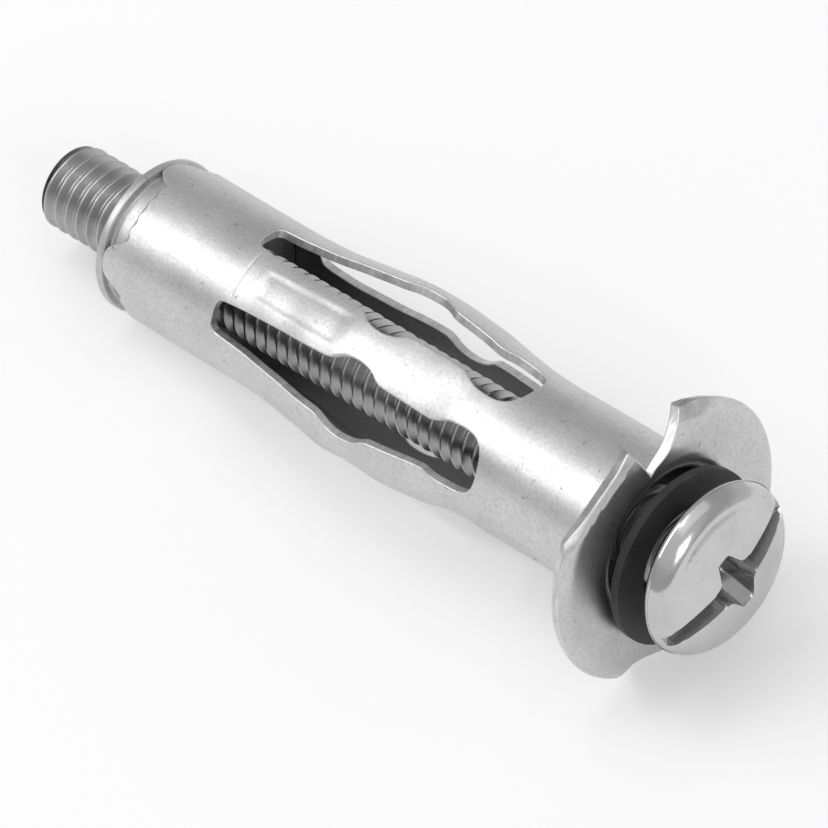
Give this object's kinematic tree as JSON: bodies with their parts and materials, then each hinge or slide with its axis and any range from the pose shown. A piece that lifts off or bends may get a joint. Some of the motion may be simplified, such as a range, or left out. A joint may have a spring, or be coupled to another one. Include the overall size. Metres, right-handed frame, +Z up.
{
  "type": "hollow wall anchor with screw",
  "caption": "Slotted sheet-steel expansion anchor for cavity walls, with notched flange, end nut, pan head machine screw and dark spacer washer.",
  "frame": {"origin": "middle of the bounding box, at the surface the anchor lies on", "axes": "+X towards the screw's head, which is raised by the flange; +Z up; the flange notches point up and down"},
  "size_m": [0.049, 0.0162, 0.0148],
  "materials": {
    "zinc_sheet": "satin zinc-plated sheet steel",
    "zinc_nut": "satin zinc-plated steel",
    "zinc_screw": "bright zinc-plated steel",
    "dark_washer": "near-black satin plastic"
  },
  "bodies": {
    "anchor": {"sleeve": "zinc_sheet", "nut": "zinc_nut"},
    "washer": {"spacer_washer": "dark_washer"},
    "screw": {"screw": "zinc_screw"}
  },
  "joints": [
    {"name": "screw_travel", "type": "slide", "parent": "anchor", "child": "washer", "axis": [0.9966, 0, 0.0822], "range_m": [-0.00046, 0.012]},
    {"name": "screw_turn", "type": "hinge", "parent": "washer", "child": "screw", "pos_m": [0.01951, 0, 0.00747], "axis": [0.9966, 0, 0.0822], "range_deg": [-206.5, 5400.5]}
  ],
  "couplings": [
    {"joint": "screw_turn", "follows": "screw_travel", "rad_per_m": 7854}
  ]
}
